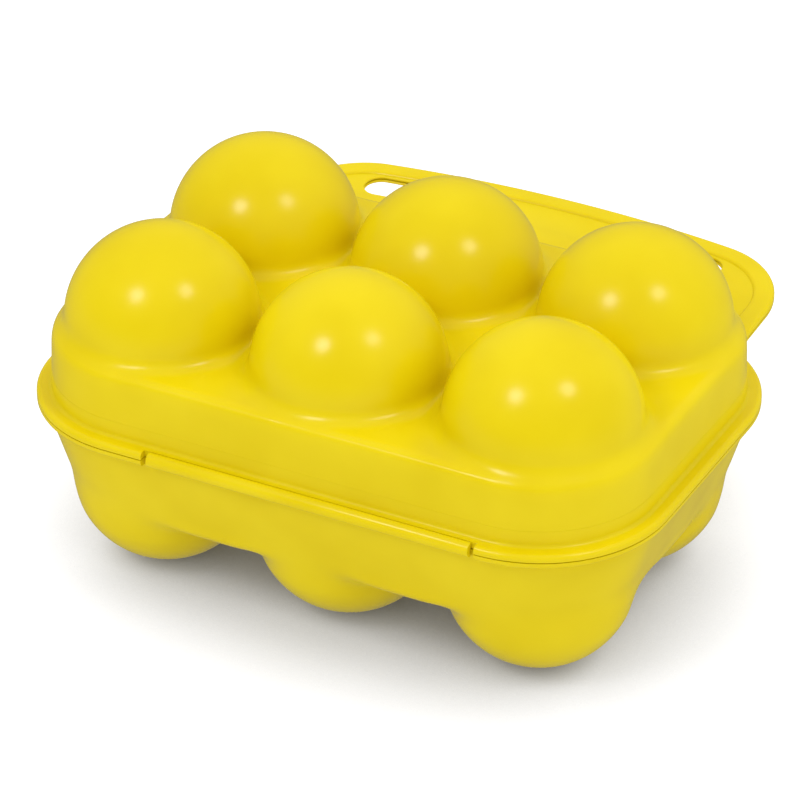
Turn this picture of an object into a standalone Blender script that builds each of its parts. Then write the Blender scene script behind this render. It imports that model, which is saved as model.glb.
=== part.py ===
"""Camping egg carrier for six eggs, shut: a moulded lid, a moulded base and the hinge strip in front.

Both halves are solid, because a shut carrier shows nothing of its inside. The carrier stands on the
flat spots under its six cups, with its length along X, the hinge at -Y and the handle at +Y.
"""

import bmesh
import bpy
from math import acos, asin, cos, pi, radians, sin, tan
from mathutils import Matrix

MM = 0.001

# Pockets: three along X, two along Y.
COLUMNS = 3
ROWS = 2
PITCH = 55.0 * MM

# Heights above the floor.
PARTING_Z = 48.7 * MM
DECK_Z = 69.0 * MM
GAP = 0.3 * MM

# Lid: flange at the parting line, skirt with a little draft, rounded shoulder, flat deck, domes.
SKIRT_FOOT_X = 85.1 * MM
SKIRT_FOOT_Y = 58.1 * MM
SKIRT_FOOT_CORNER = 31.8 * MM
SKIRT_DRAFT = 0.5 * MM
SHOULDER_RADIUS = 2.2 * MM
DOME_RADIUS = 25.9 * MM
DOME_LIFT = 1.0 * MM
DOME_ROOT = 6.0 * MM

# Flanges of both halves.
FLANGE_REACH = 4.0 * MM
LID_FLANGE_HEIGHT = 1.9 * MM
BASE_FLANGE_HEIGHT = 1.9 * MM
FLANGE_ROUND = 0.7 * MM
FLANGE_FILLET = 0.8 * MM

# Base: wall a little outside the skirt and sloping inwards, rounded under the tray, cups to the floor.
WALL_OUTSET = 1.4 * MM
WALL_DRAFT = 5.8 * MM
TRAY_BOTTOM_Z = 21.5 * MM
TRAY_ROUND = 5.0 * MM
CUP_RADIUS = 25.3 * MM
CUP_FLAT_RADIUS = 4.5 * MM
CUP_ROOT = 9.0 * MM

# Handle: a wide thin loop at the back, parted like the carrier, its bar a little bowed, and a thinner
# web inside it with a slot at each side of the middle. Behind the rim it rises a little.
HANDLE_MIDDLE_X = -4.0 * MM
HANDLE_HALF_LENGTH = 74.8 * MM
HANDLE_BACK_Y = 108.0 * MM
HANDLE_CORNER = 25.3 * MM
HANDLE_BOW = radians(8.3)
HANDLE_ROOT_Y = 44.0 * MM
HANDLE_WIDTH = 6.0 * MM
HANDLE_HALF_HEIGHT = 1.5 * MM
HANDLE_ROUND = 0.9 * MM
HANDLE_TILT = radians(3.5)
HANDLE_BEND_Y = 62.5 * MM
WEB_HALF_HEIGHT = 0.8 * MM
WEB_ROOT_Y = 54.0 * MM
SLOT_LENGTH = 37.0 * MM
SLOT_DEPTH = 9.5 * MM
SLOT_MIDDLE_X = 36.5 * MM
SLOT_TO_BAR = 1.0 * MM

# Hinge: a strip with a round front, let into the front edge of both flanges, with a notch at each end.
HINGE_START_X = -40.7 * MM
HINGE_END_X = 51.4 * MM
HINGE_NOTCH = 1.6 * MM
HINGE_SEAT = 2.2 * MM
HINGE_PROUD = 0.3 * MM
CUTTER_OVERLAP = 2.0 * MM

# How finely the round shapes are cut.
CORNER_STEPS = 7
DOME_TURNS = 32
DOME_RINGS = 8
BAR_STEPS = 8
SLOT_STEPS = 4
ROUND_STEPS = 2
SHOULDER_STEPS = 4
HINGE_STEPS = 8
SMOOTH_ANGLE = radians(40)
MERGE_DISTANCE = 0.001 * MM

# The plastic: one moulding batch, so both halves and the hinge have the same yellow.
YELLOW = (0.80, 0.60, 0.01)
ROUGHNESS = 0.32

RIM_X = SKIRT_FOOT_X + FLANGE_REACH
RIM_Y = SKIRT_FOOT_Y + FLANGE_REACH
RIM_CORNER = SKIRT_FOOT_CORNER + FLANGE_REACH
# The handle makes the back deeper than the front, so the tray's middle lies in front of the whole's.
TRAY_MIDDLE_Y = -(HANDLE_BACK_Y - RIM_Y - HINGE_PROUD) / 2
# Middles of the handle's corners and of its bowed bar, by the bar's outer edge.
CORNER_X = HANDLE_HALF_LENGTH - HANDLE_CORNER
BAR_RADIUS = HANDLE_CORNER + CORNER_X / sin(HANDLE_BOW)
BAR_Y = HANDLE_BACK_Y - BAR_RADIUS
CORNER_Y = BAR_Y + (BAR_RADIUS - HANDLE_CORNER) * cos(HANDLE_BOW)


def clear_scene():
    for thing in list(bpy.data.objects):
        bpy.data.objects.remove(thing, do_unlink=True)


def plastic(name):
    material = bpy.data.materials.new(name)
    material.use_nodes = True
    shader = material.node_tree.nodes["Principled BSDF"]
    shader.inputs["Base Color"].default_value = (*YELLOW, 1.0)
    shader.inputs["Roughness"].default_value = ROUGHNESS
    shader.inputs["Metallic"].default_value = 0.0
    return material


def to_object(name, bm, material):
    bmesh.ops.recalc_face_normals(bm, faces=bm.faces[:])
    mesh = bpy.data.meshes.new(name)
    bm.to_mesh(mesh)
    bm.free()
    mesh.materials.append(material)
    mesh.shade_smooth()
    mesh.set_sharp_from_angle(angle=SMOOTH_ANGLE)
    thing = bpy.data.objects.new(name, mesh)
    thing.location = (0.0, TRAY_MIDDLE_Y, 0.0)
    bpy.context.scene.collection.objects.link(thing)
    return thing


def combine(thing, tool, operation):
    """Adds tool to thing, or cuts it away, with a Boolean, and hides the tool itself."""
    tool.hide_render = True
    tool.display_type = "WIRE"
    boolean = thing.modifiers.new(tool.name, "BOOLEAN")
    boolean.operation = operation
    boolean.object = tool
    boolean.solver = "EXACT"


def pocket_centres():
    for row in range(ROWS):
        for column in range(COLUMNS):
            yield (column - (COLUMNS - 1) / 2) * PITCH, (row - (ROWS - 1) / 2) * PITCH


def arc(radius, steps, convex):
    """(inset, rise) steps round a quarter turn: upright to level if convex, else level to upright."""
    places = []
    for i in range(steps + 1):
        turn = i * pi / 2 / steps
        if convex:
            places.append((radius * (1 - cos(turn)), radius * sin(turn)))
        else:
            places.append((radius * sin(turn), radius * (1 - cos(turn))))
    return [(b[0] - a[0], b[1] - a[1]) for a, b in zip(places, places[1:])]


def rounded_slab(start_z, upright, steps, direction):
    """A closed solid: a rounded rectangle, raised upright, then each (inset, rise) step up or down."""
    bm = bmesh.new()
    bmesh.ops.create_grid(bm, x_segments=1, y_segments=1, size=1.0)
    bmesh.ops.scale(bm, vec=(RIM_X, RIM_Y, 1.0), verts=bm.verts[:])
    bmesh.ops.bevel(
        bm,
        geom=bm.verts[:],
        offset=RIM_CORNER,
        offset_type="OFFSET",
        affect="VERTICES",
        segments=CORNER_STEPS,
        profile=0.5,
        material=-1,
    )
    bmesh.ops.translate(bm, vec=(0.0, 0.0, start_z), verts=bm.verts[:])
    raised = bmesh.ops.extrude_face_region(bm, geom=bm.faces[:], use_keep_orig=True)
    top = next(item for item in raised["geom"] if isinstance(item, bmesh.types.BMFace))
    bmesh.ops.translate(bm, vec=(0.0, 0.0, direction * upright), verts=top.verts[:])
    for inset, rise in steps:
        bmesh.ops.inset_region(bm, faces=[top], thickness=inset, use_even_offset=True)
        bmesh.ops.translate(bm, vec=(0.0, 0.0, direction * rise), verts=top.verts[:])
    return bm


def turned(profile, turns):
    """A closed solid of the (radius, height) profile turned about Z, both ends of it on the axis."""
    bm = bmesh.new()
    points = [bm.verts.new((radius, 0.0, height)) for radius, height in profile]
    edges = [bm.edges.new(pair) for pair in zip(points, points[1:])]
    bmesh.ops.spin(
        bm,
        geom=points + edges,
        axis=(0.0, 0.0, 1.0),
        cent=(0.0, 0.0, 0.0),
        steps=turns,
        angle=2 * pi,
        use_merge=True,
    )
    bmesh.ops.remove_doubles(bm, verts=bm.verts[:], dist=MERGE_DISTANCE)
    return bm


def in_every_pocket(profile):
    """One turned solid for each pocket, in one bmesh."""
    whole = bmesh.new()
    for x, y in pocket_centres():
        one = turned(profile, DOME_TURNS)
        bmesh.ops.translate(one, vec=(x, y, 0.0), verts=one.verts[:])
        part = bpy.data.meshes.new("pocket")
        one.to_mesh(part)
        one.free()
        whole.from_mesh(part)
        bpy.data.meshes.remove(part)
    return whole


def dome_profile():
    """Half a sphere on a short upright root that reaches down into the lid."""
    middle_z = DECK_Z + DOME_LIFT
    points = [(0.0, DECK_Z - DOME_ROOT), (DOME_RADIUS, DECK_Z - DOME_ROOT)]
    for i in range(DOME_RINGS + 1):
        turn = i * pi / 2 / DOME_RINGS
        points.append((DOME_RADIUS * cos(turn), middle_z + DOME_RADIUS * sin(turn)))
    return points


def cup_profile():
    """Half a sphere below an upright root, with the flat spot that it stands on."""
    flat_turn = acos(CUP_FLAT_RADIUS / CUP_RADIUS)
    middle_z = CUP_RADIUS * sin(flat_turn)
    points = [(0.0, middle_z + CUP_ROOT), (CUP_RADIUS, middle_z + CUP_ROOT)]
    for i in range(DOME_RINGS + 1):
        turn = i * flat_turn / DOME_RINGS
        points.append((CUP_RADIUS * cos(turn), middle_z - CUP_RADIUS * sin(turn)))
    points.append((0.0, points[-1][1]))
    return points


def bar_section(flat_z, side):
    """The half bar's outline across X, flat on the parting plane and rounded away from it."""
    outer = HANDLE_HALF_LENGTH
    inner = outer - HANDLE_WIDTH
    round_z = flat_z + side * (HANDLE_HALF_HEIGHT - HANDLE_ROUND)
    section = [(inner, flat_z), (outer, flat_z)]
    for middle_x, start in ((outer - HANDLE_ROUND, 0.0), (inner + HANDLE_ROUND, pi / 2)):
        for i in range(ROUND_STEPS + 1):
            turn = start + i * pi / 2 / ROUND_STEPS
            x = middle_x + HANDLE_ROUND * cos(turn)
            section.append((x, round_z + side * HANDLE_ROUND * sin(turn)))
    return section


def half_handle(flat_z, side):
    """The loop's upper (side 1) or lower (side -1) half: the section carried from root to root."""
    arm = CORNER_Y - HANDLE_ROOT_Y
    corner_turn = pi / 2 - HANDLE_BOW

    bm = bmesh.new()
    points = [bm.verts.new((x, HANDLE_ROOT_Y, z)) for x, z in bar_section(flat_z, side)]
    root = [bm.edges.new(pair) for pair in zip(points, points[1:] + points[:1])]

    def straight(ends, length):
        out = bmesh.ops.extrude_edge_only(bm, edges=ends)["geom"]
        moved = [item for item in out if isinstance(item, bmesh.types.BMVert)]
        bmesh.ops.translate(bm, vec=(0.0, length, 0.0), verts=moved)
        return [item for item in out if isinstance(item, bmesh.types.BMEdge)]

    def round_bend(ends, x, y, turn, steps):
        spun = bmesh.ops.spin(
            bm, geom=ends, axis=(0.0, 0.0, 1.0), cent=(x, y, 0.0), steps=steps, angle=turn
        )
        return [item for item in spun["geom_last"] if isinstance(item, bmesh.types.BMEdge)]

    end = straight(root, arm)
    end = round_bend(end, CORNER_X, CORNER_Y, corner_turn, CORNER_STEPS)
    end = round_bend(end, 0.0, BAR_Y, 2 * HANDLE_BOW, BAR_STEPS)
    end = round_bend(end, -CORNER_X, CORNER_Y, corner_turn, CORNER_STEPS)
    end = straight(end, -arm)
    bmesh.ops.holes_fill(bm, edges=root + end, sides=len(points))
    tilt_up(bm)
    bmesh.ops.translate(bm, vec=(HANDLE_MIDDLE_X, 0.0, 0.0), verts=bm.verts[:])
    return bm


def tilt_up(bm):
    """Lifts what lies behind the rim, more and more towards the back."""
    bmesh.ops.bisect_plane(
        bm,
        geom=bm.verts[:] + bm.edges[:] + bm.faces[:],
        dist=MERGE_DISTANCE,
        plane_co=(0.0, HANDLE_BEND_Y, 0.0),
        plane_no=(0.0, 1.0, 0.0),
    )
    for vert in bm.verts:
        if vert.co.y > HANDLE_BEND_Y:
            vert.co.z += (vert.co.y - HANDLE_BEND_Y) * tan(HANDLE_TILT)


def half_web(flat_z, side):
    """Half of the thin plate inside the loop, from inside the rim to the middle of the bar."""
    centreline = HANDLE_WIDTH / 2
    half_length = HANDLE_HALF_LENGTH - centreline
    bm = bmesh.new()
    edge = [bm.verts.new((half_length, WEB_ROOT_Y, flat_z))]
    for middle_x, middle_y, radius, start, turn, steps in (
        (CORNER_X, CORNER_Y, HANDLE_CORNER, 0.0, pi / 2 - HANDLE_BOW, CORNER_STEPS),
        (0.0, BAR_Y, BAR_RADIUS, pi / 2 - HANDLE_BOW, 2 * HANDLE_BOW, BAR_STEPS),
        (-CORNER_X, CORNER_Y, HANDLE_CORNER, pi / 2 + HANDLE_BOW, pi / 2 - HANDLE_BOW, CORNER_STEPS),
    ):
        for i in range(steps + 1):
            angle = start + i * turn / steps
            x = middle_x + (radius - centreline) * cos(angle)
            y = middle_y + (radius - centreline) * sin(angle)
            edge.append(bm.verts.new((x, y, flat_z)))
    edge.append(bm.verts.new((-half_length, WEB_ROOT_Y, flat_z)))
    for pair in zip(edge, edge[1:] + edge[:1]):
        bm.edges.new(pair)
    bmesh.ops.remove_doubles(bm, verts=bm.verts[:], dist=MERGE_DISTANCE)
    bmesh.ops.contextual_create(bm, geom=bm.edges[:])
    out = bmesh.ops.extrude_face_region(bm, geom=bm.faces[:], use_keep_orig=True)["geom"]
    moved = [item for item in out if isinstance(item, bmesh.types.BMVert)]
    bmesh.ops.translate(bm, vec=(0.0, 0.0, side * WEB_HALF_HEIGHT), verts=moved)
    tilt_up(bm)
    bmesh.ops.translate(bm, vec=(HANDLE_MIDDLE_X, 0.0, 0.0), verts=bm.verts[:])
    return bm


def web_slots():
    """The cutter for both slots: round-ended, along the bar, at equal distances from its middle."""
    tilt = asin(SLOT_MIDDLE_X / BAR_RADIUS)
    bar_inside = BAR_Y + (BAR_RADIUS - HANDLE_WIDTH) * cos(tilt)
    height = 8 * HANDLE_HALF_HEIGHT
    whole = bmesh.new()
    for side in (-1, 1):
        bm = bmesh.new()
        bmesh.ops.create_cube(bm, size=1.0)
        bmesh.ops.scale(bm, vec=(SLOT_LENGTH, SLOT_DEPTH, height), verts=bm.verts[:])
        upright = [e for e in bm.edges if abs(e.verts[0].co.z - e.verts[1].co.z) > height / 2]
        bmesh.ops.bevel(
            bm,
            geom=upright,
            offset=SLOT_DEPTH * 0.49,
            offset_type="OFFSET",
            affect="EDGES",
            segments=SLOT_STEPS,
            profile=0.5,
            material=-1,
        )
        turn = Matrix.Rotation(-side * tilt, 3, "Z")
        bmesh.ops.rotate(bm, cent=(0.0, 0.0, 0.0), matrix=turn, verts=bm.verts[:])
        middle_x = HANDLE_MIDDLE_X + side * SLOT_MIDDLE_X
        middle_y = bar_inside - SLOT_TO_BAR - SLOT_DEPTH / 2
        bmesh.ops.translate(bm, vec=(middle_x, middle_y, PARTING_Z), verts=bm.verts[:])
        part = bpy.data.meshes.new("slot")
        bm.to_mesh(part)
        bm.free()
        whole.from_mesh(part)
        bpy.data.meshes.remove(part)
    return whole


def hinge_seat():
    """The cutter for the strip's seat and its two end notches, through both flanges."""
    low_x = HINGE_START_X - HINGE_NOTCH
    high_x = HINGE_END_X + HINGE_NOTCH
    depth = HINGE_SEAT + CUTTER_OVERLAP
    height = 2 * (LID_FLANGE_HEIGHT + FLANGE_FILLET)
    bm = bmesh.new()
    bmesh.ops.create_cube(bm, size=1.0)
    bmesh.ops.scale(bm, vec=(high_x - low_x, depth, height), verts=bm.verts[:])
    middle_y = -RIM_Y + HINGE_SEAT - depth / 2
    bmesh.ops.translate(bm, vec=((low_x + high_x) / 2, middle_y, PARTING_Z), verts=bm.verts[:])
    return bm


def make_lid():
    material = plastic("lid_plastic")
    low = PARTING_Z + GAP / 2
    wall_rise = DECK_Z - low - LID_FLANGE_HEIGHT - FLANGE_FILLET - SHOULDER_RADIUS
    steps = arc(FLANGE_ROUND, ROUND_STEPS, True)
    steps += [(FLANGE_REACH - FLANGE_ROUND - FLANGE_FILLET, 0.0)]
    steps += arc(FLANGE_FILLET, ROUND_STEPS, False)
    steps += [(SKIRT_DRAFT, wall_rise)]
    steps += arc(SHOULDER_RADIUS, SHOULDER_STEPS, True)
    slab = rounded_slab(low, LID_FLANGE_HEIGHT - FLANGE_ROUND, steps, 1)
    lid = to_object("lid", slab, material)
    combine(lid, to_object("lid_domes", in_every_pocket(dome_profile()), material), "UNION")
    combine(lid, to_object("lid_handle", half_handle(low, 1), material), "UNION")
    combine(lid, to_object("lid_web", half_web(low, 1), material), "UNION")
    combine(lid, to_object("lid_web_slots", web_slots(), material), "DIFFERENCE")
    combine(lid, to_object("lid_hinge_seat", hinge_seat(), material), "DIFFERENCE")


def make_base():
    material = plastic("base_plastic")
    high = PARTING_Z - GAP / 2
    wall_drop = high - TRAY_BOTTOM_Z - BASE_FLANGE_HEIGHT - FLANGE_FILLET - TRAY_ROUND
    steps = arc(FLANGE_ROUND, ROUND_STEPS, True)
    steps += [(FLANGE_REACH - WALL_OUTSET - FLANGE_ROUND - FLANGE_FILLET, 0.0)]
    steps += arc(FLANGE_FILLET, ROUND_STEPS, False)
    steps += [(WALL_DRAFT, wall_drop)]
    steps += arc(TRAY_ROUND, SHOULDER_STEPS, True)
    slab = rounded_slab(high, BASE_FLANGE_HEIGHT - FLANGE_ROUND, steps, -1)
    base = to_object("base", slab, material)
    combine(base, to_object("base_cups", in_every_pocket(cup_profile()), material), "UNION")
    combine(base, to_object("base_handle", half_handle(high, -1), material), "UNION")
    combine(base, to_object("base_web", half_web(high, -1), material), "UNION")
    combine(base, to_object("base_web_slots", web_slots(), material), "DIFFERENCE")
    combine(base, to_object("base_hinge_seat", hinge_seat(), material), "DIFFERENCE")


def make_hinge():
    """The strip: flat at the back of its seat, rounded at the front, as tall as both flanges."""
    half_height = GAP / 2 + LID_FLANGE_HEIGHT
    back_y = -RIM_Y + HINGE_SEAT - GAP
    front_y = -RIM_Y - HINGE_PROUD + half_height
    outline = [(back_y, PARTING_Z + half_height), (back_y, PARTING_Z - half_height)]
    for i in range(HINGE_STEPS + 1):
        turn = i * pi / HINGE_STEPS
        y = front_y - half_height * sin(turn)
        outline.append((y, PARTING_Z - half_height * cos(turn)))
    bm = bmesh.new()
    points = [bm.verts.new((HINGE_START_X, y, z)) for y, z in outline]
    end = bm.faces.new(points)
    out = bmesh.ops.extrude_face_region(bm, geom=[end], use_keep_orig=True)["geom"]
    moved = [item for item in out if isinstance(item, bmesh.types.BMVert)]
    bmesh.ops.translate(bm, vec=(HINGE_END_X - HINGE_START_X, 0.0, 0.0), verts=moved)
    to_object("hinge", bm, plastic("hinge_plastic"))


def main():
    clear_scene()
    make_lid()
    make_base()
    make_hinge()


main()
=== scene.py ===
from math import acos, asin, cos, hypot, pi, radians, sin, tan

import bmesh
import bpy
from mathutils import Matrix, Vector


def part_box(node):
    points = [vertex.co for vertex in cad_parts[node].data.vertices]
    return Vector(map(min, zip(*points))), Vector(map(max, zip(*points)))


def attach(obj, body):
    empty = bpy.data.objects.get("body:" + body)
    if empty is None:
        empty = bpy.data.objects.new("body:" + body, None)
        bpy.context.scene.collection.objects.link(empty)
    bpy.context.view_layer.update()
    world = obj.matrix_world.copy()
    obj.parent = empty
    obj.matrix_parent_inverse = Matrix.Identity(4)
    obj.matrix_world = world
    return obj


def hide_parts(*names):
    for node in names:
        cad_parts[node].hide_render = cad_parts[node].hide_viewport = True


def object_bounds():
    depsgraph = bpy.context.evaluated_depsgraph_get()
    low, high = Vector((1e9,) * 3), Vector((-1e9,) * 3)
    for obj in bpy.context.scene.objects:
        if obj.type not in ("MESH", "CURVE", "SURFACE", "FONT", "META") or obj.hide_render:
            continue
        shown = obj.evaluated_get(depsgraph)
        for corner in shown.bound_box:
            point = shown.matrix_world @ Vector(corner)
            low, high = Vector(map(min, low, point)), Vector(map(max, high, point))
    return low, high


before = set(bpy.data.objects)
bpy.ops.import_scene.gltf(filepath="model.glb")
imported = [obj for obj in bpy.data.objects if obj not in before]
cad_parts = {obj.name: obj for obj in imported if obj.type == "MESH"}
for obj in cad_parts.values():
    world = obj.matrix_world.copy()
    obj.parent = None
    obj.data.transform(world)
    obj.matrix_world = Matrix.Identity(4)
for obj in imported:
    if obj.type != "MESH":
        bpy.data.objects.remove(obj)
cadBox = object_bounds()
mm = 0.001
weld = 0.001 * mm               # points nearer than this become one
creaseAngle = radians(38)       # edges sharper than this stay crisp
halfGap = 0.15 * mm             # half the gap between lid and base

# The rim's outline; the tray's middle and the seam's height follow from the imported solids.
lidLow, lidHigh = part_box("lid")
hingeLow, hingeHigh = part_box("hinge")
rim = {
    "halfLength": lidHigh.x,
    "halfDepth": 62.1 * mm,
    "corner": 35.8 * mm,
    "reach": 4.0 * mm,          # how far the lip stands out from the skirt
    "lipHeight": 1.9 * mm,
    "lipRound": 1.3 * mm,       # the lip's outer edge is almost half round
    "fillet": 1.1 * mm,         # where the lip runs into the wall
    "collar": 3.5 * mm,         # how far the rim piece reaches along the wall
    "capInset": 1.5 * mm,       # the collar's end turns in, hidden by the shell
    "under": 0.8 * mm,          # the shell starts this far from the seam, hidden by the lip
    "proud": 0.03 * mm,         # keeps the shell's wall just inside the rim piece's
    "cornerCuts": 28,
    "lipCuts": 8,
    "filletCuts": 7,
}
middleY = lidLow.y + rim["halfDepth"]
seamZ = lidLow.z - halfGap
pockets = {"pitch": 55.0 * mm, "columns": 3, "rows": 2, "riseCuts": 32, "turnCuts": 96}


def pocketCentres():
    for row in range(pockets["rows"]):
        for column in range(pockets["columns"]):
            x = (column - (pockets["columns"] - 1) / 2) * pockets["pitch"]
            yield x, middleY + (row - (pockets["rows"] - 1) / 2) * pockets["pitch"]


def quarter(radius, cuts, outwards):
    # (inset, rise) steps of a rounded edge: upright to level, or level to upright for a fillet
    spots = []
    for i in range(cuts + 1):
        turn = i * pi / 2 / cuts
        if outwards:
            spots.append((radius * (1 - cos(turn)), radius * sin(turn)))
        else:
            spots.append((radius * sin(turn), radius * (1 - cos(turn))))
    return [(b[0] - a[0], b[1] - a[1]) for a, b in zip(spots, spots[1:])]


def roundedPlate(halfX, halfY, corner, z, upright, steps, way):
    # a rounded rectangle pulled upright or down (way), then narrowed step by step
    bm = bmesh.new()
    bmesh.ops.create_grid(bm, x_segments=1, y_segments=1, size=1.0)
    bmesh.ops.scale(bm, vec=(halfX, halfY, 1.0), verts=bm.verts[:])
    bmesh.ops.bevel(
        bm, geom=bm.verts[:], offset=corner, offset_type="OFFSET", affect="VERTICES",
        segments=rim["cornerCuts"], profile=0.5, material=-1,
    )
    bmesh.ops.translate(bm, vec=(0.0, middleY, z), verts=bm.verts[:])
    raised = bmesh.ops.extrude_face_region(bm, geom=bm.faces[:], use_keep_orig=True)["geom"]
    top = next(item for item in raised if isinstance(item, bmesh.types.BMFace))
    bmesh.ops.translate(bm, vec=(0.0, 0.0, way * upright), verts=top.verts[:])
    for inset, rise in steps:
        bmesh.ops.inset_region(bm, faces=[top], thickness=inset, use_even_offset=True)
        bmesh.ops.translate(bm, vec=(0.0, 0.0, way * rise), verts=top.verts[:])
    bmesh.ops.recalc_face_normals(bm, faces=bm.faces[:])
    return bm


def turnedPocket(profile, x, y):
    # one pocket's skin, spun from its outline, both ends of it on the axis
    bm = bmesh.new()
    points = [bm.verts.new((radius, 0.0, height)) for radius, height in profile]
    edges = [bm.edges.new(pair) for pair in zip(points, points[1:])]
    bmesh.ops.spin(
        bm, geom=points + edges, axis=(0.0, 0.0, 1.0), cent=(0.0, 0.0, 0.0),
        steps=pockets["turnCuts"], angle=2 * pi, use_merge=True,
    )
    bmesh.ops.remove_doubles(bm, verts=bm.verts[:], dist=weld)
    bmesh.ops.recalc_face_normals(bm, faces=bm.faces[:])
    bmesh.ops.translate(bm, vec=(x, y, 0.0), verts=bm.verts[:])
    return bm


def mergeInto(whole, part):
    mesh = bpy.data.meshes.new("part")
    part.to_mesh(mesh)
    part.free()
    whole.from_mesh(mesh)
    bpy.data.meshes.remove(mesh)


def smoothToCreases(mesh):
    mesh.shade_smooth()
    mesh.set_sharp_from_angle(angle=creaseAngle)


def asObject(name, bm):
    mesh = bpy.data.meshes.new(name)
    bm.to_mesh(mesh)
    bm.free()
    smoothToCreases(mesh)
    made = bpy.data.objects.new(name, mesh)
    bpy.context.scene.collection.objects.link(made)
    return made


def bakeModifiers(piece):
    # replaces the piece's mesh by what its modifiers make of it
    view = bpy.context.evaluated_depsgraph_get()
    mesh = bpy.data.meshes.new_from_object(piece.evaluated_get(view))
    old = piece.data
    piece.modifiers.clear()
    piece.data = mesh
    bpy.data.meshes.remove(old)


def cutAway(piece, name, bm):
    # takes the drawn form out of the piece
    cutter = asObject(name, bm)
    cut = piece.modifiers.new(name, "BOOLEAN")
    cut.operation = "DIFFERENCE"
    cut.object = cutter
    cut.solver = "EXACT"
    bakeModifiers(piece)
    bpy.data.objects.remove(cutter, do_unlink=True)


def fuse(name, bm, voxel):
    # overlapping closed forms become one even skin, as the mould made it
    piece = asObject(name, bm)
    remesh = piece.modifiers.new("skin", "REMESH")
    remesh.mode = "VOXEL"
    remesh.voxel_size = voxel
    remesh.adaptivity = 0.0
    bakeModifiers(piece)
    return piece


def nearRings(radius, reach, lowZ, highZ):
    # a test for points by the rings where the pockets meet their plate
    def inside(co):
        if not lowZ <= co.z <= highZ:
            return False
        return any(abs(hypot(co.x - x, co.y - y) - radius) < reach for x, y in pocketCentres())
    return inside


def everywhere(co):
    return True


def soften(piece, bands):
    # rounds the inner corners: each band's points are averaged with their neighbours, pass by pass
    bm = bmesh.new()
    bm.from_mesh(piece.data)
    for inBand, passes in bands:
        near = [v for v in bm.verts if inBand(v.co)]
        for _ in range(passes):
            bmesh.ops.smooth_vert(
                bm, verts=near, factor=0.5, use_axis_x=True, use_axis_y=True, use_axis_z=True
            )
    bm.to_mesh(piece.data)
    bm.free()
    piece.data.shade_smooth()


hinge = {
    "notch": 1.6 * mm,
    "seat": 2.2 * mm,
    "overlap": 2.0 * mm,        # how far the seat's cutter stands out in front
    "cuts": 20,
    "endRound": 0.35 * mm,
    "endCuts": 3,
}


def hingeSeat(piece):
    # the slot for the hinge strip, with a notch left open at each of its ends
    bm = bmesh.new()
    bmesh.ops.create_cube(bm, size=1.0)
    lowX, highX = hingeLow.x - hinge["notch"], hingeHigh.x + hinge["notch"]
    depth = hinge["seat"] + hinge["overlap"]
    height = 2 * (rim["lipHeight"] + rim["fillet"] / 2)
    bmesh.ops.scale(bm, vec=(highX - lowX, depth, height), verts=bm.verts[:])
    place = ((lowX + highX) / 2, lidLow.y + hinge["seat"] - depth / 2, seamZ)
    bmesh.ops.translate(bm, vec=place, verts=bm.verts[:])
    cutAway(piece, "hingeSeatCutter", bm)
    smoothToCreases(piece.data)


# The rim pieces: the lip at the seam and the first few millimetres of wall that grow out of it.
def rimPiece(name, way, wallInset, draft, wallHeight):
    z = seamZ + way * halfGap
    steps = quarter(rim["lipRound"], rim["lipCuts"], True)
    steps += [(rim["reach"] + wallInset - rim["lipRound"] - rim["fillet"], 0.0)]
    steps += quarter(rim["fillet"], rim["filletCuts"], False)
    steps += [(draft * rim["collar"] / wallHeight, rim["collar"])]
    steps += [(rim["capInset"], 0.0)]
    bm = roundedPlate(
        rim["halfLength"], rim["halfDepth"], rim["corner"], z,
        rim["lipHeight"] - rim["lipRound"], steps, way,
    )
    piece = asObject(name, bm)
    hingeSeat(piece)
    return piece


lid = {
    "skirtDraft": 0.5 * mm,
    "shoulder": 2.2 * mm,
    "shoulderCuts": 8,
    "deckHeight": 20.3 * mm,    # above the seam
    "domeRadius": 25.9 * mm,
    "domeRoot": 8.0 * mm,       # each dome starts this far below the deck
    "voxel": 1.0 * mm,
    "footReach": 4.5 * mm,      # how far the foot's fillet spreads
    "footPasses": ((1.0, 6), (0.75, 8), (0.5, 8)),      # share of that reach, passes
    "lastPasses": 3,
}
base = {
    "wallInset": -1.4 * mm,
    "wallDraft": 5.8 * mm,
    "trayDrop": 27.2 * mm,      # below the seam
    "trayRound": 5.0 * mm,
    "trayCuts": 10,
    "cupRadius": 25.3 * mm,
    "cupFlat": 4.5 * mm,
    "cupRoot": 9.0 * mm,        # each cup starts this far above its ball's middle
    "voxel": 1.0 * mm,
    "archReach": 6.0 * mm,      # how far the arches' rounding spreads
    "archLift": 0.8,            # share of that reach above the tray's rounded edge
    "archPasses": ((1.0, 12), (0.75, 12), (0.5, 10)),   # share of the reach, passes
    "lastPasses": 3,
}


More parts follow.
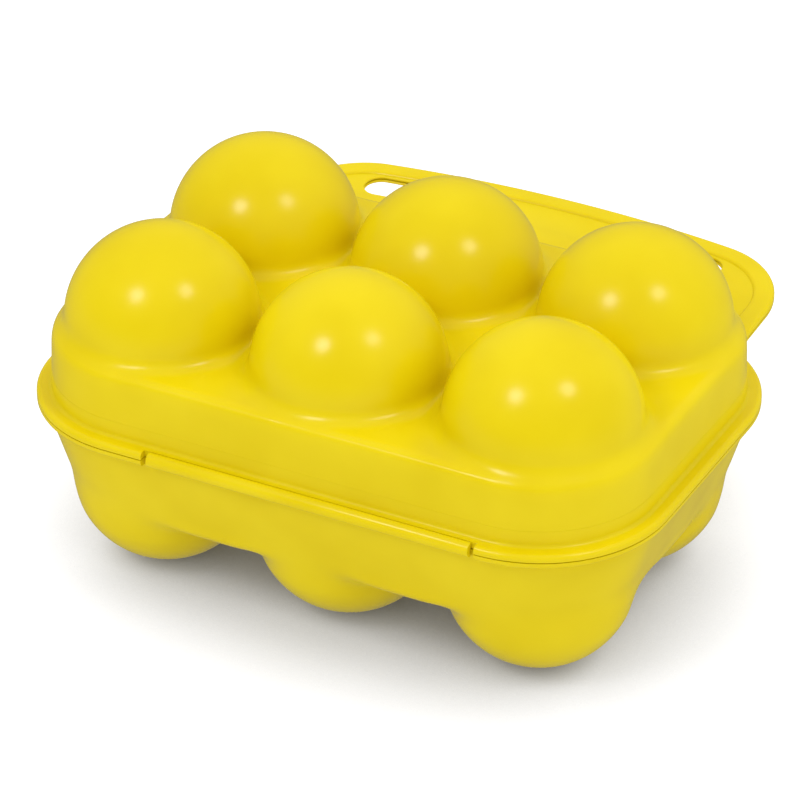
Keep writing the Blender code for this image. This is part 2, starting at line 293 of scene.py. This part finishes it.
def lidShell():
    deckZ = seamZ + lid["deckHeight"]
    wallStart = halfGap + rim["lipHeight"] + rim["fillet"]
    wallHeight = lid["deckHeight"] - wallStart - lid["shoulder"]
    inset = rim["reach"] + rim["proud"]
    steps = [(lid["skirtDraft"], wallHeight)]
    steps += quarter(lid["shoulder"], lid["shoulderCuts"], True)
    whole = roundedPlate(
        rim["halfLength"] - inset, rim["halfDepth"] - inset, rim["corner"] - inset,
        seamZ + rim["under"], wallStart - rim["under"], steps, 1,
    )
    radius = lid["domeRadius"]
    domeZ = lidHigh.z - radius
    outline = [(0.0, deckZ - lid["domeRoot"]), (radius, deckZ - lid["domeRoot"])]
    for i in range(pockets["riseCuts"] + 1):
        turn = i * pi / 2 / pockets["riseCuts"]
        outline.append((radius * cos(turn), domeZ + radius * sin(turn)))
    for x, y in pocketCentres():
        mergeInto(whole, turnedPocket(outline, x, y))
    piece = fuse("lidShell", whole, lid["voxel"])
    bands = []
    for share, passes in lid["footPasses"]:
        reach = lid["footReach"] * share
        bands.append((nearRings(radius, reach, deckZ - reach, deckZ + reach), passes))
    soften(piece, bands + [(everywhere, lid["lastPasses"])])
    return piece, wallHeight


def baseShell():
    trayZ = seamZ - base["trayDrop"]
    wallStart = halfGap + rim["lipHeight"] + rim["fillet"]
    wallHeight = base["trayDrop"] - wallStart - base["trayRound"]
    inset = rim["reach"] + base["wallInset"] + rim["proud"]
    steps = [(base["wallDraft"], wallHeight)]
    steps += quarter(base["trayRound"], base["trayCuts"], True)
    whole = roundedPlate(
        rim["halfLength"] - inset, rim["halfDepth"] - inset, rim["corner"] - inset,
        seamZ - rim["under"], wallStart - rim["under"], steps, -1,
    )
    radius = base["cupRadius"]
    flatTurn = acos(base["cupFlat"] / radius)
    cupZ = radius * sin(flatTurn)
    outline = [(0.0, cupZ + base["cupRoot"]), (radius, cupZ + base["cupRoot"])]
    for i in range(pockets["riseCuts"] + 1):
        turn = i * flatTurn / pockets["riseCuts"]
        outline.append((radius * cos(turn), cupZ - radius * sin(turn)))
    outline.append((0.0, outline[-1][1]))
    for x, y in pocketCentres():
        mergeInto(whole, turnedPocket(outline, x, y))
    piece = fuse("baseShell", whole, base["voxel"])
    bands = []
    for share, passes in base["archPasses"]:
        reach = base["archReach"] * share
        highZ = trayZ + base["trayRound"] + reach * base["archLift"]
        bands.append((nearRings(radius, reach, trayZ - reach, highZ), passes))
    soften(piece, bands + [(everywhere, base["lastPasses"])])
    return piece, wallHeight


lidSkin, lidWall = lidShell()
print("lid shell:", len(lidSkin.data.polygons), "faces")
baseSkin, baseWall = baseShell()
print("base shell:", len(baseSkin.data.polygons), "faces")
lidRim = rimPiece("lidRim", 1, 0.0, lid["skirtDraft"], lidWall)
baseRim = rimPiece("baseRim", -1, base["wallInset"], base["wallDraft"], baseWall)
print("rims with the hinge seat")


# The handle: a bowed bar round a thinner web, with a finger slot at each side of its middle.
handle = {
    "middleX": -4.0 * mm,
    "halfLength": 74.8 * mm,
    "backY": cadBox[1].y,
    "corner": 25.3 * mm,
    "bow": radians(8.3),
    "rootY": 50.0 * mm,          # inside the rim, from the tray's middle
    "width": 6.0 * mm,
    "halfHeight": 1.5 * mm,
    "edgeRound": 1.2 * mm,
    "tilt": radians(3.5),        # behind the rim it rises a little
    "bendY": 62.5 * mm,
    "webHalf": 0.8 * mm,
    "slotLength": 37.0 * mm,
    "slotDepth": 9.5 * mm,
    "slotMiddle": 36.5 * mm,     # from the handle's middle
    "slotToBar": 1.0 * mm,
    "slotRound": 0.35 * mm,      # the slots' edges are broken, or they would cut the fingers
    "slotEnd": 0.49,             # the slots' end radius, as a share of their depth
    "postHeight": 12.0 * mm,     # the slots' cutters stand well clear of the web
    "cornerCuts": 28,
    "barCuts": 40,
    "roundCuts": 6,
    "slotCuts": 14,
    "slotRoundCuts": 3,
    "slotRoundFrom": radians(60),
}
handle["cornerX"] = handle["halfLength"] - handle["corner"]
handle["barRadius"] = handle["corner"] + handle["cornerX"] / sin(handle["bow"])
handle["barY"] = handle["backY"] - handle["barRadius"]
handle["cornerY"] = handle["barY"] + (handle["barRadius"] - handle["corner"]) * cos(handle["bow"])


def loopBends():
    # each bend of the handle's loop: its middle, how far it turns and in how many steps
    cornerTurn = pi / 2 - handle["bow"]
    yield handle["cornerX"], handle["cornerY"], cornerTurn, handle["cornerCuts"]
    yield 0.0, handle["barY"], 2 * handle["bow"], handle["barCuts"]
    yield -handle["cornerX"], handle["cornerY"], cornerTurn, handle["cornerCuts"]


def barOutline(z, way):
    outer = handle["halfLength"]
    inner = outer - handle["width"]
    edge = handle["edgeRound"]
    roundZ = z + way * (handle["halfHeight"] - edge)
    outline = [(inner, z), (outer, z)]
    for middleX, start in ((outer - edge, 0.0), (inner + edge, pi / 2)):
        for i in range(handle["roundCuts"] + 1):
            turn = start + i * pi / 2 / handle["roundCuts"]
            outline.append((middleX + edge * cos(turn), roundZ + way * edge * sin(turn)))
    return outline


def carryRound(bm, points):
    # carries the drawn edges up one arm, round both corners and the bow, and down the other arm
    arm = handle["cornerY"] - middleY - handle["rootY"]
    root = [bm.edges.new(pair) for pair in zip(points, points[1:] + points[:1])]

    def straight(ends, length):
        out = bmesh.ops.extrude_edge_only(bm, edges=ends)["geom"]
        moved = [item for item in out if isinstance(item, bmesh.types.BMVert)]
        bmesh.ops.translate(bm, vec=(0.0, length, 0.0), verts=moved)
        return [item for item in out if isinstance(item, bmesh.types.BMEdge)]

    end = straight(root, arm)
    for x, y, turn, cuts in loopBends():
        spun = bmesh.ops.spin(
            bm, geom=end, axis=(0.0, 0.0, 1.0), cent=(x, y, 0.0), steps=cuts, angle=turn
        )
        end = [item for item in spun["geom_last"] if isinstance(item, bmesh.types.BMEdge)]
    end = straight(end, -arm)
    bmesh.ops.holes_fill(bm, edges=root + end, sides=len(points))
    bmesh.ops.recalc_face_normals(bm, faces=bm.faces[:])
    tiltUp(bm)
    bmesh.ops.translate(bm, vec=(handle["middleX"], 0.0, 0.0), verts=bm.verts[:])


def tiltUp(bm):
    # lifts what lies behind the rim, more and more towards the back
    bendY = middleY + handle["bendY"]
    bmesh.ops.bisect_plane(
        bm, geom=bm.verts[:] + bm.edges[:] + bm.faces[:], dist=weld,
        plane_co=(0.0, bendY, 0.0), plane_no=(0.0, 1.0, 0.0),
    )
    for v in bm.verts:
        if v.co.y > bendY:
            v.co.z += (v.co.y - bendY) * tan(handle["tilt"])


def slotCutters(bm):
    # two upright round-ended posts that lie along the bar
    tilt = asin(handle["slotMiddle"] / handle["barRadius"])
    inside = handle["barY"] + (handle["barRadius"] - handle["width"]) * cos(tilt)
    y = inside - handle["slotToBar"] - handle["slotDepth"] / 2
    height = handle["postHeight"]
    for side in (-1, 1):
        made = bmesh.ops.create_cube(bm, size=1.0)["verts"]
        size = (handle["slotLength"], handle["slotDepth"], height)
        bmesh.ops.scale(bm, vec=size, verts=made)
        edges = {e for v in made for e in v.link_edges}
        upright = [e for e in edges if abs(e.verts[0].co.z - e.verts[1].co.z) > height / 2]
        before = set(bm.verts) - set(made)
        bmesh.ops.bevel(
            bm, geom=upright, offset=handle["slotDepth"] * handle["slotEnd"],
            offset_type="OFFSET", affect="EDGES",
            segments=handle["slotCuts"], profile=0.5, material=-1,
        )
        post = [v for v in bm.verts if v not in before]
        turn = Matrix.Rotation(-side * tilt, 3, "Z")
        bmesh.ops.rotate(bm, cent=(0.0, 0.0, 0.0), matrix=turn, verts=post)
        place = (handle["middleX"] + side * handle["slotMiddle"], y, seamZ)
        bmesh.ops.translate(bm, vec=place, verts=post)


def halfWeb(name, way):
    # the plate inside the loop, cut through by both slots, its free edges rounded over
    z = seamZ + way * halfGap
    inner = handle["halfLength"] - handle["width"] / 2
    bm = bmesh.new()
    rootY = middleY + handle["rootY"]
    start = bm.verts.new((inner, rootY, z))
    out = bmesh.ops.extrude_vert_indiv(bm, verts=[start])
    bmesh.ops.translate(bm, vec=(0.0, handle["cornerY"] - rootY, 0.0), verts=out["verts"])
    last = out["verts"]
    for x, y, turn, cuts in loopBends():
        spun = bmesh.ops.spin(
            bm, geom=last, axis=(0.0, 0.0, 1.0), cent=(x, y, 0.0), steps=cuts, angle=turn
        )
        last = [item for item in spun["geom_last"] if isinstance(item, bmesh.types.BMVert)]
    out = bmesh.ops.extrude_vert_indiv(bm, verts=last)
    bmesh.ops.translate(bm, vec=(0.0, rootY - handle["cornerY"], 0.0), verts=out["verts"])
    bm.edges.new((start, out["verts"][0]))
    bmesh.ops.contextual_create(bm, geom=bm.edges[:])
    raised = bmesh.ops.extrude_face_region(bm, geom=bm.faces[:], use_keep_orig=True)["geom"]
    moved = [item for item in raised if isinstance(item, bmesh.types.BMVert)]
    bmesh.ops.translate(bm, vec=(0.0, 0.0, way * handle["webHalf"]), verts=moved)
    bmesh.ops.recalc_face_normals(bm, faces=bm.faces[:])
    tiltUp(bm)
    bmesh.ops.translate(bm, vec=(handle["middleX"], 0.0, 0.0), verts=bm.verts[:])
    web = asObject(name, bm)
    posts = bmesh.new()
    slotCutters(posts)
    bmesh.ops.recalc_face_normals(posts, faces=posts.faces[:])
    cutAway(web, "slotPosts", posts)
    lip = web.modifiers.new("lip", "BEVEL")
    lip.width = handle["slotRound"]
    lip.segments = handle["slotRoundCuts"]
    lip.limit_method = "ANGLE"
    lip.angle_limit = handle["slotRoundFrom"]
    bakeModifiers(web)
    smoothToCreases(web.data)
    return web


def halfHandle(name, way):
    z = seamZ + way * halfGap
    rootY = middleY + handle["rootY"]
    bm = bmesh.new()
    points = [bm.verts.new((x, rootY, height)) for x, height in barOutline(z, way)]
    carryRound(bm, points)
    return asObject(name, bm)


lidHandle = halfHandle("lidHandle", 1)
baseHandle = halfHandle("baseHandle", -1)
lidWeb = halfWeb("lidWeb", 1)
baseWeb = halfWeb("baseWeb", -1)
print("handle, both halves, with its slots")


# The hinge strip: as tall as both lips, flat behind, half round in front.
def hingeStrip():
    halfHeight = halfGap + rim["lipHeight"]
    backY = hingeHigh.y
    frontY = hingeLow.y + halfHeight
    bm = bmesh.new()
    outline = [(backY, seamZ + halfHeight), (backY, seamZ - halfHeight)]
    for i in range(hinge["cuts"] + 1):
        turn = i * pi / hinge["cuts"]
        outline.append((frontY - halfHeight * sin(turn), seamZ - halfHeight * cos(turn)))
    points = [bm.verts.new((hingeLow.x, y, z)) for y, z in outline]
    bmesh.ops.remove_doubles(bm, verts=points, dist=weld)
    end = bm.faces.new([v for v in points if v.is_valid])
    out = bmesh.ops.extrude_face_region(bm, geom=[end], use_keep_orig=True)["geom"]
    moved = [item for item in out if isinstance(item, bmesh.types.BMVert)]
    bmesh.ops.translate(bm, vec=(hingeHigh.x - hingeLow.x, 0.0, 0.0), verts=moved)
    bmesh.ops.recalc_face_normals(bm, faces=bm.faces[:])
    ends = [f for f in bm.faces if abs(f.normal.x) > 0.9]
    border = {e for f in ends for e in f.edges}
    bmesh.ops.bevel(
        bm, geom=list(border), offset=hinge["endRound"], offset_type="OFFSET", affect="EDGES",
        segments=hinge["endCuts"], profile=0.5, material=-1, clamp_overlap=True,
    )
    return asObject("hingeStrip", bm)


strip = hingeStrip()
print("hinge strip")


def hexToLinear(code):
    parts = [int(code[i:i + 2], 16) / 255 for i in (1, 3, 5)]
    return [p / 12.92 if p <= 0.04045 else ((p + 0.055) / 1.055) ** 2.4 for p in parts] + [1.0]


def addNode(tree, kind, values=None, links=None, **settings):
    made = tree.nodes.new(kind)
    for name, value in settings.items():
        setattr(made, name, value)
    for socket, value in (values or {}).items():
        made.inputs[socket].default_value = value
    for socket, source in (links or {}).items():
        tree.links.new(source, made.inputs[socket])
    return made


plastic = {
    "thick": "#DAC204",         # where the wall is thicker the yellow is a little deeper
    "thin": "#E0C906",
    "flowSize": 22 * mm,        # width of the soft clouds left by the melt's flow
    "grainSize": 0.7 * mm,      # mould grain, drawn coarser than it is so that it shows
    "grainDepth": 0.02 * mm,
    "grainStrength": 0.12,
    "sinkSize": 14 * mm,        # width of the hollows where the plastic shrank
    "sinkDepth": 0.12 * mm,
    "sinkStrength": 0.5,
    "roughLow": 0.2,
    "roughHigh": 0.26,
    "refraction": 1.51,
    "gloss": 0.25,
    "lightInside": 0.12,        # the share of light that enters the wall and comes out again
    "lightReach": 1.5 * mm,
}


# Moulded polyethylene: waxy, smooth, through-dyed; it gives broad soft highlights, a faint glow
# where light enters the wall, and a shallow unevenness where the plastic shrank in the mould.
def mouldedPolyethylene(name, shift):
    material = bpy.data.materials.new(name)
    material.use_nodes = True
    tree = material.node_tree
    tree.nodes.clear()
    place = addNode(tree, "ShaderNodeTexCoord")
    moved = addNode(
        tree, "ShaderNodeMapping", {"Location": (shift, shift * 0.7, shift * 0.4)},
        {"Vector": place.outputs["Object"]},
    )
    flow = addNode(
        tree, "ShaderNodeTexNoise",
        {"Scale": 1 / plastic["flowSize"], "Detail": 2.0, "Roughness": 0.45},
        {"Vector": moved.outputs[0]},
    )
    tint = addNode(tree, "ShaderNodeValToRGB", links={"Fac": flow.outputs["Fac"]})
    for stop, position, shade in zip(tint.color_ramp.elements, (0.35, 0.68), ("thick", "thin")):
        stop.position = position
        stop.color = hexToLinear(plastic[shade])
    grain = addNode(
        tree, "ShaderNodeTexNoise",
        {"Scale": 1 / plastic["grainSize"], "Detail": 3.0, "Roughness": 0.5},
        {"Vector": moved.outputs[0]},
    )
    sink = addNode(
        tree, "ShaderNodeTexNoise", {"Scale": 1 / plastic["sinkSize"], "Detail": 1.0},
        {"Vector": moved.outputs[0]},
    )
    roughness = addNode(
        tree, "ShaderNodeMapRange",
        {
            "From Min": 0.3, "From Max": 0.7,
            "To Min": plastic["roughLow"], "To Max": plastic["roughHigh"],
        },
        {"Value": flow.outputs["Fac"]},
    )
    fine = addNode(
        tree, "ShaderNodeBump",
        {"Strength": plastic["grainStrength"], "Distance": plastic["grainDepth"]},
        {"Height": grain.outputs["Fac"]},
    )
    broad = addNode(
        tree, "ShaderNodeBump",
        {"Strength": plastic["sinkStrength"], "Distance": plastic["sinkDepth"]},
        {"Height": sink.outputs["Fac"], "Normal": fine.outputs[0]},
    )
    shader = addNode(
        tree, "ShaderNodeBsdfPrincipled",
        {
            "IOR": plastic["refraction"],
            "Specular IOR Level": plastic["gloss"],
            "Subsurface Weight": plastic["lightInside"],
            "Subsurface Radius": (1.0, 0.75, 0.1),
            "Subsurface Scale": plastic["lightReach"],
        },
        {
            "Base Color": tint.outputs["Color"],
            "Roughness": roughness.outputs["Result"],
            "Normal": broad.outputs[0],
        },
    )
    addNode(tree, "ShaderNodeOutputMaterial", links={"Surface": shader.outputs[0]})
    return material


lidPlastic = mouldedPolyethylene("lidPolyethylene", 0.0)
basePlastic = mouldedPolyethylene("basePolyethylene", 0.31)
hingePlastic = mouldedPolyethylene("hingePolyethylene", 0.57)
for piece, node, slot, plasticUsed in (
    (lidSkin, "lid", "lid_plastic", lidPlastic),
    (lidRim, "lid", "lid_plastic", lidPlastic),
    (lidHandle, "lid", "lid_plastic", lidPlastic),
    (lidWeb, "lid", "lid_plastic", lidPlastic),
    (baseSkin, "base", "base_plastic", basePlastic),
    (baseRim, "base", "base_plastic", basePlastic),
    (baseHandle, "base", "base_plastic", basePlastic),
    (baseWeb, "base", "base_plastic", basePlastic),
    (strip, "hinge", "hinge_plastic", hingePlastic),
):
    piece.data.materials.clear()
    piece.data.materials.append(plasticUsed)
    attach(piece, "root")
    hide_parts(node)
print("yellow polyethylene on every piece")


studio = {
    "floorSize": 12.0,
    "floorDrop": 0.2 * mm,
    "floorPaper": "#86868A",
    "floorPaintedLight": 0.95,           # painted light: the paper itself glows, so it takes little yellow
    "paintedShadowReach": 60 * mm,        # how near the carrier a painted shadow dims the paper's glow
    "paintedShadowEnd": 0.8,             # the openness from which the glow is full and the painted shadow ends
    "paintedShadowSamples": 12,
    "toothScale": 900.0,
    "toothDepth": 0.05 * mm,
    "toothStrength": 0.05,
    "mirrored": 0.2,             # how bright the tent and the paper look in the carrier's gloss
    "surroundLow": 0.25,
    "surroundHigh": 1.3,
    "brightSide": (0.0, 0.6, 0.8),   # the tent is brightest above and a little behind
    "keyAzimuth": -18.0,
    "keyElevation": 48.0,
    "keyStrength": 3.9,
    "sideAzimuth": 75.0,
    "sideElevation": 55.0,
    "sideStrength": 2.6,
    "lampDistance": 1.3,
    "lampSize": 0.33,
}


def mattePaper():
    # seamless paper: dead matt, faintly toothed; it glows with painted light, dimmed by a painted
    # shadow near the carrier
    material = bpy.data.materials.new("seamlessPaper")
    material.use_nodes = True
    tree = material.node_tree
    tree.nodes.clear()
    place = addNode(tree, "ShaderNodeTexCoord")
    tooth = addNode(
        tree, "ShaderNodeTexNoise", {"Scale": studio["toothScale"], "Detail": 2.0},
        {"Vector": place.outputs["Object"]},
    )
    bump = addNode(
        tree, "ShaderNodeBump",
        {"Strength": studio["toothStrength"], "Distance": studio["toothDepth"]},
        {"Height": tooth.outputs["Fac"]},
    )
    # painted shadow: the paper's glow fades with how closed in each point is by the carrier
    paintedShadowMask = addNode(
        tree, "ShaderNodeAmbientOcclusion", {"Distance": studio["paintedShadowReach"]},
        samples=studio["paintedShadowSamples"],
    )
    # the paper's painted light, darkened into a painted shadow where it is closed in
    paintedFloorLight = addNode(
        tree, "ShaderNodeMapRange",
        {
            "From Min": 0.0, "From Max": studio["paintedShadowEnd"],
            "To Min": 0.0, "To Max": studio["floorPaintedLight"],
        },
        {"Value": paintedShadowMask.outputs["AO"]},
    )
    shader = addNode(
        tree, "ShaderNodeBsdfPrincipled",
        {
            "Base Color": hexToLinear(studio["floorPaper"]),
            "Roughness": 0.9,
            "Specular IOR Level": 0.0,
            "Emission Color": (1.0, 1.0, 1.0, 1.0),
        },
        {"Normal": bump.outputs[0], "Emission Strength": paintedFloorLight.outputs["Result"]},
    )
    dim = addNode(
        tree, "ShaderNodeEmission",
        {"Color": (1.0, 1.0, 1.0, 1.0), "Strength": studio["mirrored"]},
    )
    rays = addNode(tree, "ShaderNodeLightPath")
    seen = addNode(
        tree, "ShaderNodeMixShader",
        links={0: rays.outputs["Is Glossy Ray"], 1: shader.outputs[0], 2: dim.outputs[0]},
    )
    addNode(tree, "ShaderNodeOutputMaterial", links={"Surface": seen.outputs[0]})
    return material


def makeStudio():
    bm = bmesh.new()
    bmesh.ops.create_grid(bm, x_segments=1, y_segments=1, size=studio["floorSize"] / 2)
    bmesh.ops.translate(bm, vec=(0.0, 0.0, -studio["floorDrop"]), verts=bm.verts[:])
    floor = asObject("paperFloor", bm)
    floor.data.materials.append(mattePaper())
    aim = Vector((0.0, middleY, seamZ))
    for name, turn, lift, power in (
        ("keyLamp", studio["keyAzimuth"], studio["keyElevation"], studio["keyStrength"]),
        ("sideLamp", studio["sideAzimuth"], studio["sideElevation"], studio["sideStrength"]),
    ):
        turn, lift = radians(turn), radians(lift)
        out = Vector((cos(lift) * sin(turn), -cos(lift) * cos(turn), sin(lift)))
        lamp = bpy.data.lights.new(name, "AREA")
        lamp.shape = "DISK"
        lamp.size = studio["lampSize"]
        lamp.energy = power
        holder = bpy.data.objects.new(name, lamp)
        holder.location = aim + out * studio["lampDistance"]
        holder.rotation_euler = (-out).to_track_quat("-Z", "Y").to_euler()
        bpy.context.scene.collection.objects.link(holder)
    world = bpy.data.worlds.new("whiteTent")
    world.use_nodes = True
    tree = world.node_tree
    tree.nodes.clear()
    ray = addNode(tree, "ShaderNodeTexCoord")
    towards = addNode(
        tree, "ShaderNodeVectorMath", {1: studio["brightSide"]}, {0: ray.outputs["Generated"]},
        operation="DOT_PRODUCT",
    )
    level = addNode(
        tree, "ShaderNodeMapRange",
        {
            "From Min": -1.0, "From Max": 1.0,
            "To Min": studio["surroundLow"], "To Max": studio["surroundHigh"],
        },
        {"Value": towards.outputs["Value"]},
    )
    rays = addNode(tree, "ShaderNodeLightPath")
    share = addNode(
        tree, "ShaderNodeMapRange", {"To Min": 1.0, "To Max": studio["mirrored"]},
        {"Value": rays.outputs["Is Glossy Ray"]},
    )
    strength = addNode(
        tree, "ShaderNodeMath", links={0: level.outputs["Result"], 1: share.outputs["Result"]},
        operation="MULTIPLY",
    )
    sky = addNode(
        tree, "ShaderNodeBackground", {"Color": (1.0, 1.0, 1.0, 1.0)},
        {"Strength": strength.outputs[0]},
    )
    addNode(tree, "ShaderNodeOutputWorld", links={"Surface": sky.outputs[0]})
    bpy.context.scene.world = world
    bpy.context.scene.view_settings.view_transform = "Standard"


makeStudio()
print("studio")

shot = {
    "azimuth": radians(27.476),
    "elevation": radians(31.095),
    "distance": 1112.15 * mm,
    "aim": (18.3 * mm, middleY - 34.58 * mm, seamZ + lid["deckHeight"]),
    "lens": 197.91,
    "sensor": 36.0,
    "nearest": 0.05,
    "farthest": 30.0,
}


def makeCamera():
    a, e = shot["azimuth"], shot["elevation"]
    back = Vector((sin(a) * cos(e), -cos(a) * cos(e), sin(e)))
    eye = bpy.data.cameras.new("camera")
    eye.sensor_width = shot["sensor"]
    eye.lens = shot["lens"]
    eye.clip_start = shot["nearest"]
    eye.clip_end = shot["farthest"]
    holder = bpy.data.objects.new("camera", eye)
    holder.location = Vector(shot["aim"]) + back * shot["distance"]
    holder.rotation_euler = (-back).to_track_quat("-Z", "Y").to_euler()
    bpy.context.scene.collection.objects.link(holder)
    bpy.context.scene.camera = holder


makeCamera()
print("camera")
